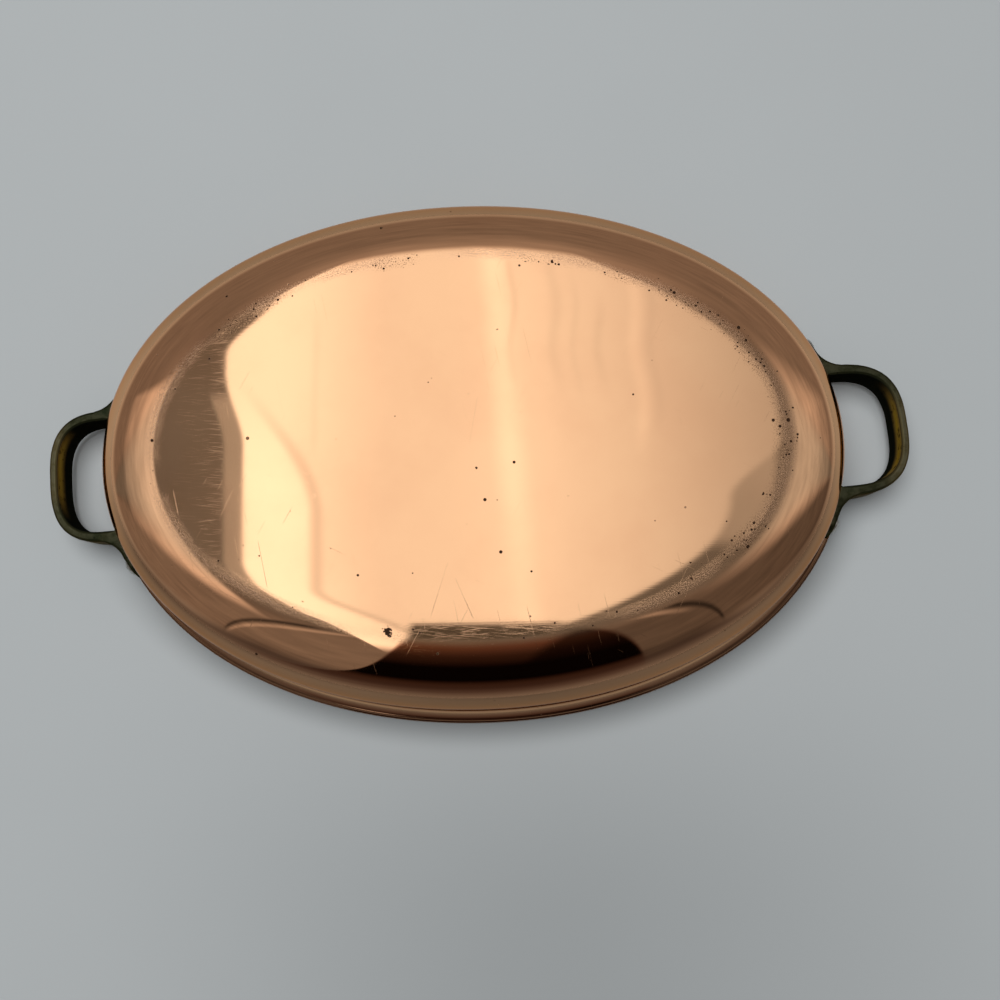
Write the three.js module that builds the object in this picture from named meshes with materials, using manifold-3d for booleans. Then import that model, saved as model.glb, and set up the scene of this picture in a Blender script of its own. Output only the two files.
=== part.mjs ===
// An oval copper gratin pan with two riveted brass handles.
//
// The pan stands upright on its flat base. The origin is the centre of the base's underside, X runs along the
// oval's long axis through both handles, and Z points up through the open mouth. All sizes are millimetres.
//
// Every horizontal section of the shell is the rim oval drawn in by some inset, so one upright profile of
// insets and heights gives the copper sheet, the lining inside it, and the seat of the handles outside it.

import * as THREE from "three";
import { mergeVertices } from "three/addons/utils/BufferGeometryUtils.js";
import Module from "manifold-3d";

// The oval seen from above. A power of 2 would be a true ellipse; the real pan is a little fuller.
const rimHalfLength = 180;
const rimHalfWidth = 126.5;
const ovalPower = 2.05;

// The upright profile of the copper's outer face.
const panHeight = 48.5;
const baseInset = 40;
const cornerTopInset = 8;
const cornerHeight = 22;
const wallTopInset = 6.9;
const lipHeight = 10;
const lipSlope = 23;

// The sheet: copper outside, and a thin food-safe skin inside.
const copperThickness = 1.8;
const liningThickness = 0.4;

// The handles. The tongues are measured along the wall from the middle of the handle.
const handleBottom = 26;
const handleHeight = 17.5;
const handleShift = 7;
const legSpan = 58;
const leftReach = 25.6;
const rightReach = 30;
const legThickness = 5;
const gripThickness = 4;
const strapRounding = 1.3;
const archPower = 2.9;
const tongueThickness = 3.2;
const tongueEndRadius = 7;
const tongueFillet = 7;
const rivetOffset = 43.5;

// The rivets: a low dome inside the pan, and a hammered head on the tongue.
const shankRadius = 2.5;
const innerHeadRadius = 5.2;
const innerHeadHeight = 2;
const outerHeadRadius = 4.2;
const outerHeadHeight = 2.2;

// Clearances.
const handleGap = 0.3;
const headGap = 0.3;
const shankGap = 0.3;

// How finely round forms are divided.
const ovalSteps = 72;
const cornerSteps = 7;
const lipSteps = 5;
const archSteps = 22;
const tongueSteps = 9;
const roundingSteps = 2;
const rivetSteps = 16;
const domeSteps = 4;

const sheetThickness = copperThickness + liningThickness;
const handleMiddle = handleBottom + handleHeight / 2;
const quarterTurn = Math.PI / 2;

const wasm = await Module();
wasm.setup();

// A closed three.js geometry as a solid that can be joined and cut.
function solidOf(geometry) {
  const bare = geometry.clone();
  bare.deleteAttribute("normal");
  bare.deleteAttribute("uv");
  const merged = mergeVertices(bare, 1e-4);
  return new wasm.Manifold(
    new wasm.Mesh({
      numProp: 3,
      vertProperties: merged.attributes.position.array,
      triVerts: new Uint32Array(merged.index.array),
    }),
  );
}

// A solid back as a three.js geometry, with flat faces.
function geometryOf(solid) {
  const mesh = solid.getMesh();
  const geometry = new THREE.BufferGeometry();
  geometry.setAttribute("position", new THREE.BufferAttribute(mesh.vertProperties, 3));
  geometry.setIndex(new THREE.BufferAttribute(mesh.triVerts, 1));
  const flat = geometry.toNonIndexed();
  flat.computeVertexNormals();
  return flat;
}

// A closed skin over a row of closed sections that all have the same number of points. Each end is closed by
// a fan from the middle of its section. From the turning section on, the quads are split along the other
// diagonal, so that two sheets that touch have the same facets where they meet.
function skinOver(sections, turning = sections.length) {
  const count = sections[0].length;
  const last = sections.length - 1;
  const points = sections.flat();
  const middle = (section) =>
    section.reduce((sum, p) => sum.add(p), new THREE.Vector3()).divideScalar(count);
  points.push(middle(sections[0]), middle(sections[last]));
  const faces = [];
  for (let k = 0; k < count; k++) {
    const next = (k + 1) % count;
    faces.push(points.length - 2, next, k);
    faces.push(points.length - 1, last * count + k, last * count + next);
    for (let row = 0; row < last; row++) {
      const low = row * count;
      const high = low + count;
      const turned = row >= turning;
      faces.push(low + k, low + next, turned ? high + k : high + next);
      faces.push(turned ? low + next : low + k, high + next, high + k);
    }
  }
  return new THREE.BufferGeometry().setFromPoints(points).setIndex(faces);
}

// A point of the rim oval drawn in by an inset.
function ovalPoint(inset, angle) {
  const across = Math.cos(angle);
  const along = Math.sin(angle);
  return new THREE.Vector2(
    (rimHalfLength - inset) * Math.sign(across) * Math.abs(across) ** (2 / ovalPower),
    (rimHalfWidth - inset) * Math.sign(along) * Math.abs(along) ** (2 / ovalPower),
  );
}

// The copper's outer profile as insets (x) and heights (y), from the edge of the flat base up to the lip. The
// corner is a quarter ellipse, and the lip leaves the wall smoothly and ends nearly flat.
function outerProfile() {
  const points = [];
  for (let k = 0; k < cornerSteps; k++) {
    const turn = (quarterTurn * k) / cornerSteps;
    points.push(
      new THREE.Vector2(
        baseInset - (baseInset - cornerTopInset) * Math.sin(turn),
        cornerHeight * (1 - Math.cos(turn)),
      ),
    );
  }
  const slope = THREE.MathUtils.degToRad(lipSlope);
  const lipEndHeight = panHeight - sheetThickness * Math.cos(slope);
  const bendHeight = lipEndHeight - wallTopInset * Math.tan(slope);
  const lip = new THREE.QuadraticBezierCurve(
    new THREE.Vector2(wallTopInset, panHeight - lipHeight),
    new THREE.Vector2(wallTopInset, bendHeight),
    new THREE.Vector2(0, lipEndHeight),
  );
  points.push(new THREE.Vector2(cornerTopInset, cornerHeight));
  points.push(...lip.getPoints(lipSteps));
  return points;
}

// The profile moved square to itself into the pan, or out of it where the distance is negative. Its ends run
// level at the base and along the lip's end slope.
function movedProfile(distance) {
  const profile = outerProfile();
  const endSlope = THREE.MathUtils.degToRad(lipSlope);
  return profile.map((point, k) => {
    const before = profile[k - 1] ?? new THREE.Vector2(point.x + 1, point.y);
    const after = profile[k + 1];
    const run = after ? after.clone().sub(before) : new THREE.Vector2(-Math.cos(endSlope), Math.sin(endSlope));
    if (k === 0) run.set(-1, 0);
    run.normalize();
    return new THREE.Vector2(point.x + distance * run.y, point.y - distance * run.x);
  });
}

// The oval rings of a profile, lowest first.
function ovalRings(profile) {
  return profile.map(({ x: inset, y: height }) => {
    const ring = [];
    for (let k = 0; k < ovalSteps; k++) {
      const { x, y } = ovalPoint(inset, (2 * Math.PI * k) / ovalSteps);
      ring.push(new THREE.Vector3(x, y, height));
    }
    return ring;
  });
}

// A sheet between two distances from the copper's outer face, with an edge square to the sheet at the lip.
function ovalSheet(outside, inside) {
  const outerRings = ovalRings(movedProfile(outside));
  const innerRings = ovalRings(movedProfile(inside)).reverse();
  return skinOver([...outerRings, ...innerRings], outerRings.length);
}

// Half of the wall's outline at the height of the rivets, as a curve that three.js can walk by its length.
const wallRise = panHeight - lipHeight - cornerHeight;
const wallLean = (cornerTopInset - wallTopInset) / wallRise;
const seatInset = cornerTopInset - wallLean * (handleMiddle - cornerHeight);
class WallLine extends THREE.Curve {
  getPoint(t, target = new THREE.Vector3()) {
    const { x, y } = ovalPoint(seatInset, (t - 0.5) * Math.PI);
    return target.set(x, y, 0);
  }
}
const wallLine = new WallLine();
wallLine.arcLengthDivisions = 800;

// The wall's point and outward direction, at a distance along the wall from the long axis.
function alongWall(distance) {
  const share = 0.5 + distance / wallLine.getLength();
  const tangent = wallLine.getTangentAt(share);
  return {
    point: wallLine.getPointAt(share),
    outward: new THREE.Vector3(tangent.y, -tangent.x, 0),
    forward: tangent,
  };
}

// A rounded upright rectangle: its two faces lie at near and far along a direction from a foot point.
function strapSection(foot, direction, near, far, height) {
  const points = [];
  const rounding = Math.min(strapRounding, (far - near) / 2.2, height / 2.2);
  const middle = (near + far) / 2;
  for (let corner = 0; corner < 4; corner++) {
    const right = corner === 0 || corner === 3 ? 1 : -1;
    const up = corner < 2 ? 1 : -1;
    for (let k = 0; k <= roundingSteps; k++) {
      const turn = (corner + k / roundingSteps) * quarterTurn;
      const out = middle + right * ((far - near) / 2 - rounding) + rounding * Math.cos(turn);
      const rise = up * (height / 2 - rounding) + rounding * Math.sin(turn);
      const point = foot.clone().addScaledVector(direction, out);
      points.push(point.setZ(handleMiddle + rise));
    }
  }
  return points;
}

// The loop that the hand takes: two legs and a grip on one arch, thicker at the legs.
function archSolid(centre, reach) {
  const sections = [];
  const legDepth = 9;
  for (let k = -1; k <= archSteps + 1; k++) {
    const turn = (Math.PI * THREE.MathUtils.clamp(k, 0, archSteps)) / archSteps;
    const across = Math.cos(turn);
    const out = Math.sin(turn) ** (2 / archPower) * reach;
    const side = (Math.sign(across) * Math.abs(across) ** (2 / archPower) * legSpan) / 2;
    const inWall = k < 0 || k > archSteps;
    const foot = centre.point
      .clone()
      .addScaledVector(centre.forward, side)
      .addScaledVector(centre.outward, inWall ? -legDepth : out);
    const square = new THREE.Vector2(
      Math.abs(across) ** (2 - 2 / archPower) * Math.sign(across) * reach,
      (Math.abs(Math.sin(turn)) ** (2 - 2 / archPower) * legSpan) / 2,
    ).normalize();
    const direction = centre.forward
      .clone()
      .multiplyScalar(square.x)
      .addScaledVector(centre.outward, square.y);
    const half = THREE.MathUtils.lerp(legThickness, gripThickness, Math.sin(turn)) / 2;
    sections.push(strapSection(foot, direction, -half, half, handleHeight));
  }
  return solidOf(skinOver(sections));
}

// One tongue: it hugs the wall from under its leg to a round end about the rivet, and swells into the leg.
function tongueSolid(side) {
  const sections = [];
  const inWall = 1.5;
  const start = legSpan / 2 - legThickness / 2;
  const legOutside = legSpan / 2 + legThickness / 2;
  const end = rivetOffset + tongueEndRadius;
  const lastShare = 0.985;
  for (let k = 0; k <= tongueSteps; k++) {
    const along = THREE.MathUtils.lerp(start, end, lastShare * Math.sin((quarterTurn * k) / tongueSteps));
    const { point, outward } = alongWall(-handleShift + side * along);
    const fromFillet = THREE.MathUtils.clamp(legOutside + tongueFillet - along, 0, tongueFillet);
    const swell = tongueFillet - Math.sqrt(tongueFillet ** 2 - fromFillet ** 2);
    const pastRivet = Math.max(along - rivetOffset, 0);
    const taper = THREE.MathUtils.clamp((rivetOffset - along) / (rivetOffset - legOutside), 0, 1);
    const height =
      THREE.MathUtils.lerp(2 * Math.sqrt(tongueEndRadius ** 2 - pastRivet ** 2), handleHeight, taper);
    const far = handleGap + tongueThickness + swell;
    sections.push(strapSection(point, outward, -inWall, far, height));
  }
  if (side > 0) sections.reverse();
  return solidOf(skinOver(sections));
}

// The straight line of a rivet: square to the wall, with its zero at the copper's outer face.
function rivetPlace(side) {
  const { point, outward } = alongWall(-handleShift + side * rivetOffset);
  const axis = outward.clone().setZ(-wallLean).normalize();
  const place = new THREE.Object3D();
  place.position.set(point.x, point.y, handleMiddle);
  place.quaternion.setFromUnitVectors(new THREE.Vector3(0, 1, 0), axis);
  place.updateMatrix();
  return place;
}

// A hole right through wall, lining and tongue.
function drillSolid(side) {
  const depth = 40;
  const drill = new THREE.CylinderGeometry(
    shankRadius + shankGap,
    shankRadius + shankGap,
    depth,
    rivetSteps,
  );
  return solidOf(drill.applyMatrix4(rivetPlace(side).matrix));
}

// A low dome of a rivet head, from its rim to its top.
function dome(radius, height, seat, direction) {
  const points = [new THREE.Vector2(radius, seat)];
  for (let k = 1; k <= domeSteps; k++) {
    const turn = (quarterTurn * k) / domeSteps;
    points.push(new THREE.Vector2(radius * Math.cos(turn), seat + direction * height * Math.sin(turn)));
  }
  points[domeSteps].x = 0;
  return points;
}

// How much the wall curves away under a rivet head.
function dropUnderHead(radius) {
  const middle = alongWall(rivetOffset);
  const edge = alongWall(rivetOffset + radius);
  return middle.point.sub(edge.point).dot(middle.outward);
}

// A rivet: inner dome, shank and hammered outer head, turned as one profile. The inner head stands a little
// off, because its flat underside meets a hollow wall.
function rivetGeometry() {
  const outerSeat = handleGap + tongueThickness + headGap;
  const innerSeat = -sheetThickness - headGap - dropUnderHead(innerHeadRadius);
  const profile = [
    ...dome(innerHeadRadius, innerHeadHeight, innerSeat, -1).reverse(),
    new THREE.Vector2(shankRadius, innerSeat),
    new THREE.Vector2(shankRadius, outerSeat),
    ...dome(outerHeadRadius, outerHeadHeight, outerSeat, 1),
  ];
  return new THREE.LatheGeometry(profile, rivetSteps);
}

// Everything inside the copper's outer face, grown by the gap that the handles keep to it.
const seatCutter = solidOf(skinOver(ovalRings(movedProfile(-handleGap))));
const drills = [drillSolid(-1), drillSolid(1)];
const halfTurn = new THREE.Matrix4().makeRotationZ(Math.PI);

// A handle as it sits on the right-hand end of the pan.
function handleGeometry(reach) {
  const centre = alongWall(-handleShift);
  let handle = archSolid(centre, reach).add(tongueSolid(-1)).add(tongueSolid(1));
  handle = handle.subtract(seatCutter);
  for (const drill of drills) handle = handle.subtract(drill);
  return geometryOf(handle);
}

// A sheet of the pan with the four rivet holes.
function drilledSheet(outside, inside) {
  let sheet = solidOf(ovalSheet(outside, inside));
  for (const drill of drills) {
    const opposite = solidOf(geometryOf(drill).applyMatrix4(halfTurn));
    sheet = sheet.subtract(drill).subtract(opposite);
  }
  return geometryOf(sheet);
}

const copper = new THREE.MeshStandardMaterial({ color: 0xd99a74, roughness: 0.16, metalness: 1 });
const whiteMetal = new THREE.MeshStandardMaterial({ color: 0xc9c8c4, roughness: 0.35, metalness: 1 });
const agedBrass = new THREE.MeshStandardMaterial({ color: 0x6e6236, roughness: 0.42, metalness: 1 });
const greyRivet = new THREE.MeshStandardMaterial({ color: 0x9a9c98, roughness: 0.38, metalness: 1 });

const pan = new THREE.Group();

function addPiece(name, geometry, material, parent = pan) {
  const piece = new THREE.Mesh(geometry, material);
  piece.name = name;
  parent.add(piece);
  return piece;
}

addPiece("pan_body", drilledSheet(0, copperThickness), copper);
addPiece("lining", drilledSheet(copperThickness, sheetThickness), whiteMetal);

// Both ends carry the same fittings. The left end is the right one turned half round.
const ends = [
  { name: "right", turn: 0, reach: rightReach, sides: { front: -1, back: 1 } },
  { name: "left", turn: Math.PI, reach: leftReach, sides: { front: 1, back: -1 } },
];
for (const { name, turn, reach, sides } of ends) {
  const end = new THREE.Group();
  end.rotation.z = turn;
  pan.add(end);
  addPiece("handle_" + name, handleGeometry(reach), agedBrass, end);
  for (const [place, side] of Object.entries(sides)) {
    const rivet = addPiece("rivet_" + name + "_" + place, rivetGeometry(), greyRivet, end);
    const { position, quaternion } = rivetPlace(side);
    rivet.position.copy(position);
    rivet.quaternion.copy(quaternion);
  }
}

export default pan;
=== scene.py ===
# %% [markdown]
# # An oval copper gratin pan
#
# The pan in the photograph lies upside down on a pale table, seen from almost straight above. The packed
# model stands the right way up, on its flat base. So in this scene the camera looks up at the base from
# below, and nothing has to be turned over.
#
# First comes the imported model, which is the fixed frame for everything else, and its box is kept so that the
# finished pan can be compared with it at the end.

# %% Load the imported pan
import math

import bmesh
import bpy
import numpy as np
from mathutils import Matrix, Vector, noise


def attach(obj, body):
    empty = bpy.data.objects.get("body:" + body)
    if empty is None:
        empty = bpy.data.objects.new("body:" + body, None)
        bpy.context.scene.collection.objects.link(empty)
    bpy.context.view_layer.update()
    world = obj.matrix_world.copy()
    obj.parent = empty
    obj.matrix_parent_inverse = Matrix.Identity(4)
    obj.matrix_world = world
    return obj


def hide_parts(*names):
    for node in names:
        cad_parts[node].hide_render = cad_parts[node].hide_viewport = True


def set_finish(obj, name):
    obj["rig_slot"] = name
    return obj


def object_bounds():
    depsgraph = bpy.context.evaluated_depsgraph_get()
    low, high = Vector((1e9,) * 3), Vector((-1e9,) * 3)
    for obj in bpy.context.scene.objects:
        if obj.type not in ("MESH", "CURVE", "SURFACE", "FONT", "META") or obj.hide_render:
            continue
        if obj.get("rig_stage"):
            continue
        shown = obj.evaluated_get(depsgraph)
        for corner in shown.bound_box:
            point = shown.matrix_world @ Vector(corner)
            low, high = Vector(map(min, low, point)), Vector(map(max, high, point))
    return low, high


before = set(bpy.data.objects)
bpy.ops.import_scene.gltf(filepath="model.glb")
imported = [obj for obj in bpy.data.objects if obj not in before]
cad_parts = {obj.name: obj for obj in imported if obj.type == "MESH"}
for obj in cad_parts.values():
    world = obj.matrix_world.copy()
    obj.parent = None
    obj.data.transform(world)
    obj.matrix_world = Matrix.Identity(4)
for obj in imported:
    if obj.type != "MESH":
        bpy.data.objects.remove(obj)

MM = 0.001
scene = bpy.context.scene
cad_box = [list(corner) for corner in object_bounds()]
print("The packed pan has the nodes", ", ".join(sorted(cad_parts)))

# %% [markdown]
# ## The camera
#
# The photograph was fitted in a frame that is easy to think in: the pan upside down, the table at height
# zero, x to the right and y up the picture. A half turn about the x axis takes that frame to the model's own.
# The same half turn is used below for the lamps and for the room that the polished copper mirrors.

# %% Turn from the photograph's frame to the model's
PAN_HEIGHT = 48.5


def from_photo(x, y, z):
    """A point of the photograph's frame, in millimetres, as a point of the model's, in metres."""
    return Vector((x, -y, PAN_HEIGHT - z)) * MM


camera_place = (20.757, -87.043, 485.371)
camera_pitch = 7.8712
camera_roll = 1.1419
camera_yaw = -1.2030
lens_length = 36.045

half_turn = Matrix.Rotation(math.pi, 4, "X")
aim = (
    Matrix.Rotation(math.radians(camera_yaw), 4, "Z")
    @ Matrix.Rotation(math.radians(camera_pitch), 4, "X")
    @ Matrix.Rotation(math.radians(camera_roll), 4, "Y")
)


def in_scene(name, data):
    made = bpy.data.objects.new(name, data)
    scene.collection.objects.link(made)
    return made


camera = in_scene("camera", bpy.data.cameras.new("camera"))
camera.data.sensor_width = 36
camera.data.lens = lens_length
camera.data.clip_start = 0.01
camera.data.clip_end = 100
camera.matrix_world = Matrix.Translation(from_photo(*camera_place)) @ half_turn @ aim
scene.camera = camera
scene.view_settings.view_transform = "Standard"
print("The camera is at", [round(value, 4) for value in camera.matrix_world.translation])

# %% [markdown]
# ## Shader maths that reads like maths
#
# A shader is a web of nodes, and most of them only add and multiply. Wrapping a socket in a small class lets
# Python's own signs add those nodes, so a mask can be written as `1 - wear * 0.5`. Every other node comes
# from one method, which takes the node's type, its settings, and the values or links of its sockets.


# %% Wrap a socket
def sign(operation, reflected=False):
    """What one of Python's signs does. A reflected one has the plain number on its left."""

    def method(self, other):
        pair = (other, self) if reflected else (self, other)
        return self.finish.maths(operation, *pair)

    return method


class Value:
    """One output of a node. Plain signs on it add Math nodes."""

    def __init__(self, finish, socket):
        self.finish = finish
        self.socket = socket

    __add__ = sign("ADD")
    __sub__ = sign("SUBTRACT")
    __mul__ = sign("MULTIPLY")
    __truediv__ = sign("DIVIDE")
    __pow__ = sign("POWER")
    __radd__ = sign("ADD", reflected=True)
    __rsub__ = sign("SUBTRACT", reflected=True)
    __rmul__ = sign("MULTIPLY", reflected=True)

    def __neg__(self):
        return self.finish.maths("MULTIPLY", self, -1)

    def __abs__(self):
        return self.finish.maths("ABSOLUTE", self)

    def clamped(self):
        return self.finish.maths("ADD", self, 0, clamp=True)

    def other(self, output):
        """Another output of the same node."""
        return Value(self.finish, self.socket.node.outputs[output])

    def smooth(self, low, high):
        """0 below low and 1 above high, with a soft step between them; low may be the larger one."""
        settings = {"interpolation_type": "SMOOTHSTEP"}
        if low < high:
            limits = {"From Min": low, "From Max": high}
        else:
            limits = {"From Min": high, "From Max": low, "To Min": 1, "To Max": 0}
        return self.finish.node("MapRange", settings, {"Value": self, **limits})


print("A socket takes the signs + - * / and **")


# %% Wrap a node tree
class Finish:
    """A material, or the world, and the means to build it."""

    def __init__(self, name, library=bpy.data.materials, output="OutputMaterial"):
        self.material = library.new(name)
        self.material.use_nodes = True
        self.tree = self.material.node_tree
        self.tree.nodes.clear()
        self.out = self.tree.nodes.new("ShaderNode" + output)

    def node(self, kind, settings={}, inputs={}, output=0):
        made = self.tree.nodes.new("ShaderNode" + kind)
        for name, value in settings.items():
            setattr(made, name, value)
        for name, value in inputs.items():
            if isinstance(value, Value):
                self.tree.links.new(value.socket, made.inputs[name])
            else:
                made.inputs[name].default_value = value
        return Value(self, made.outputs[output])

    def maths(self, operation, *inputs, clamp=False):
        settings = {"operation": operation, "use_clamp": clamp}
        return self.node("Math", settings, dict(enumerate(inputs)))

    def parts(self, vector):
        x = self.node("SeparateXYZ", {}, {"Vector": vector})
        return x, x.other("Y"), x.other("Z")

    def place(self):
        """The point of the surface, in metres, in the model's own frame, and its x, y and z."""
        point = self.node("TexCoord", output="Object")
        return point, *self.parts(point)

    def vector(self, x, y, z):
        return self.node("CombineXYZ", {}, {"X": x, "Y": y, "Z": z})

    def distance(self, place, spot):
        return self.node("VectorMath", {"operation": "DISTANCE"}, {0: place, 1: spot}, "Value")

    def stretched(self, vector, scale, turn=0.0):
        """The place turned about the upright axis and then scaled, which draws a texture out into lines."""
        angle = math.radians(turn)
        turned = self.node("VectorRotate", {"rotation_type": "Z_AXIS"}, {"Vector": vector, "Angle": angle})
        return self.node("VectorMath", {"operation": "MULTIPLY"}, {0: turned, 1: scale})

    def noise(self, vector, scale, detail=2.0, roughness=0.5):
        inputs = {"Vector": vector, "Scale": scale, "Detail": detail, "Roughness": roughness}
        return self.node("TexNoise", {}, inputs)

    def mix(self, factor, first, second):
        """Two colours mixed. A colour is a Value or three numbers."""
        colours = {6: first, 7: second}
        for key, colour in colours.items():
            if not isinstance(colour, Value):
                colours[key] = (*colour, 1)
        return self.node("Mix", {"data_type": "RGBA"}, {0: factor, **colours}, output=2)

    def bump(self, height):
        """The slant that a relief gives the surface. Its height is in metres."""
        return self.node("Bump", {}, {"Height": height, "Distance": 1.0, "Strength": 1.0})

    def show(self, shader):
        """Make this shader what the finish looks like."""
        self.tree.links.new(shader.socket, self.out.inputs["Surface"])
        return self.material

    def surface(self, **inputs):
        """The usual shader, with its sockets named as Blender names them but for the spaces."""
        named = {name.replace("_", " "): value for name, value in inputs.items()}
        return self.show(self.node("BsdfPrincipled", {}, named))


finishes = {}


def keep_finish(slot, material):
    finishes[slot] = material
    print("The finish", material.name, "has", len(material.node_tree.nodes), "nodes")


print("Shader maths is ready")

# %% [markdown]
# ## The pan's own lines
#
# Every level section of the sheet is the rim's oval, drawn in by some inset. One upright line of insets and
# heights therefore gives the copper, the lining and the seat of the handles. The sizes are the packed
# model's, but the line is divided much more finely, because a mirror finish shows every facet.

# %% Sizes of the sheet
RIM_HALF_LENGTH = 180
RIM_HALF_WIDTH = 126.5
OVAL_POWER = 2.05
BASE_INSET = 40
CORNER_TOP_INSET = 8
CORNER_HEIGHT = 22
WALL_TOP_INSET = 6.9
LIP_HEIGHT = 10
LIP_SLOPE = math.radians(23)
COPPER_THICKNESS = 1.8
SHEET_THICKNESS = 2.2
ROUND_STEPS = 400


def oval(inset, angles):
    """Points of the rim oval drawn in by an inset, in millimetres."""
    power = 2 / OVAL_POWER
    across, along = np.cos(angles), np.sin(angles)
    x = (RIM_HALF_LENGTH - inset) * np.sign(across) * np.abs(across) ** power
    y = (RIM_HALF_WIDTH - inset) * np.sign(along) * np.abs(along) ** power
    return np.stack([x, y], axis=-1)


def outer_line():
    """Insets and heights of the copper's outer face, from the flat base's edge to the lip, close together."""
    turns = np.linspace(0, math.pi / 2, 500)
    corner_inset = BASE_INSET - (BASE_INSET - CORNER_TOP_INSET) * np.sin(turns)
    corner = np.column_stack([corner_inset, CORNER_HEIGHT * (1 - np.cos(turns))])
    lip_end = PAN_HEIGHT - SHEET_THICKNESS * math.cos(LIP_SLOPE)
    start = np.array([WALL_TOP_INSET, PAN_HEIGHT - LIP_HEIGHT])
    bend = np.array([WALL_TOP_INSET, lip_end - WALL_TOP_INSET * math.tan(LIP_SLOPE)])
    end = np.array([0.0, lip_end])
    wall = np.linspace([CORNER_TOP_INSET, CORNER_HEIGHT], start, 200)[1:]
    t = np.linspace(0, 1, 300)[1:, None]
    lip = (1 - t) ** 2 * start + 2 * t * (1 - t) * bend + t**2 * end
    return np.concatenate([corner, wall, lip])


def along_line(line):
    return np.concatenate([[0], np.cumsum(np.linalg.norm(np.diff(line, axis=0), axis=1))])


def moved_line(distance, edge, lengths):
    """The outer line moved square to itself into the pan. Near the rim it bends over a round edge."""
    line = outer_line()
    travelled = along_line(line)
    run = np.gradient(line, axis=0)
    run /= np.linalg.norm(run, axis=1)[:, None]
    rows = np.hstack([line, run]).T
    inset, height, along_x, along_y = [np.interp(lengths, travelled, row) for row in rows]
    if edge:
        left = np.clip(1 - (travelled[-1] - lengths) / abs(edge), 0, 1)
        distance = distance + edge * (1 - np.sqrt(1 - left**2))
    return np.stack([inset + distance * along_y, height - distance * along_x], axis=-1)


line_length = along_line(outer_line())[-1]
print("The outer line is", round(line_length, 1), "mm long from the base's edge to the lip")


# %% Make a closed skin over rings of points
def mesh_object(name, points, faces):
    mesh = bpy.data.meshes.new(name)
    mesh.from_pydata([tuple(point) for point in points], [], faces)
    work = bmesh.new()
    work.from_mesh(mesh)
    bmesh.ops.recalc_face_normals(work, faces=work.faces)
    work.to_mesh(mesh)
    work.free()
    mesh.shade_smooth()
    return in_scene(name, mesh)


def skin_over(name, rings):
    """A closed skin over a row of rings in millimetres, each end closed by a fan."""
    rings = np.asarray(rings, float) * MM
    rows, count = rings.shape[:2]
    points = np.concatenate([rings.reshape(-1, 3), [rings[0].mean(0), rings[-1].mean(0)]])
    first_middle, last_middle = rows * count, rows * count + 1
    faces = []
    for k in range(count):
        after = (k + 1) % count
        faces.append((first_middle, after, k))
        faces.append((last_middle, (rows - 1) * count + k, (rows - 1) * count + after))
        for row in range(rows - 1):
            low, high = row * count, (row + 1) * count
            faces.append((low + k, low + after, high + after, high + k))
    return mesh_object(name, points, faces)


round_angles = np.linspace(0, 2 * math.pi, ROUND_STEPS, endpoint=False)


def ring(inset, height, scale=1.0):
    flat = oval(inset, round_angles) * scale
    return np.column_stack([flat, np.full(ROUND_STEPS, height)])


print("Rings have", ROUND_STEPS, "points")

# %% [markdown]
# ## The copper body
#
# The real body is one disc of copper sheet, pressed over an oval former, so the corner is wide and the sheet
# is equally thick all over. The base isn't dead flat: years on the stove have warped it by a fraction of a
# millimetre, which is what bends the edges of the room in its mirror. Along the lip runs a faint ridge. Both
# are modelled, not painted, and the rings lie closest together where the sheet bends most.

# %% Loft the copper body
BASE_ROWS = 46
BASE_WARP = 0.16
RIM_EDGE = 0.6
LINING_EDGE = -0.25
BEAD_FROM_EDGE = 1.9
BEAD_HALF_WIDTH = 0.75
BEAD_HEIGHT = 0.26
rim_steps = line_length - 1.3 * np.linspace(1, 0, 14) ** 2
bead_steps = np.linspace(line_length - 3.4, line_length - 1.4, 22)
body_steps = np.concatenate([np.linspace(0, line_length - 3.5, 82), bead_steps, rim_steps])


def lip_bead(lengths):
    """The faint ridge that trimming has left along the lip. It catches the light as a thin line."""
    share = np.clip(1 - np.abs(line_length - BEAD_FROM_EDGE - lengths) / BEAD_HALF_WIDTH, 0, 1)
    return BEAD_HEIGHT * share**2 * (3 - 2 * share)


def base_warp(x, y, share):
    """How far the warped base stands off its flat, in millimetres: nothing at its edge, a little inside."""
    slow = 0.5 + 0.5 * np.sin(x / 61 + 0.8) * np.cos(y / 47 - 0.4)
    return (1 - share**2) ** 2 * BASE_WARP * slow


def base_rings(height):
    rings = []
    for share in np.linspace(0, 1, BASE_ROWS, endpoint=False)[1:]:
        made = ring(BASE_INSET, height, share)
        made[:, 2] += base_warp(made[:, 0], made[:, 1], share)
        rings.append(made)
    return rings


def sheet_rings(outside, inside, outside_edge, inside_edge):
    """Rings over a sheet: outer base, outer wall, rim edge, inner wall, inner base."""
    ridge = lip_bead(body_steps) if outside == 0 else 0
    outer = moved_line(outside - ridge, outside_edge, body_steps)
    inner = moved_line(inside, inside_edge, body_steps)
    rings = base_rings(outer[0][1])
    rings += [ring(*point) for point in outer]
    rings += [ring(*point) for point in inner[::-1]]
    rings += base_rings(inner[0][1])[::-1]
    return rings


body = skin_over("copper_body", sheet_rings(0, COPPER_THICKNESS, RIM_EDGE, 0))
lining = skin_over("tin_lining", sheet_rings(COPPER_THICKNESS, SHEET_THICKNESS, 0, LINING_EDGE))
print("The copper body has", len(body.data.vertices), "points")

# %% [markdown]
# ## The handles
#
# Each handle is one brass casting: a loop with two legs and a flat grip, and a tongue on each side that hugs
# the wall under its rivet. In Blender a casting is easiest as a few plain swept forms that overlap, joined by
# a voxel remesh and then smoothed, because the remesh rounds the inner corners as molten metal does. Last,
# the brass is pushed back to a seat of the pan's own outline, so it follows the copper with a hairline gap.

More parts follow.
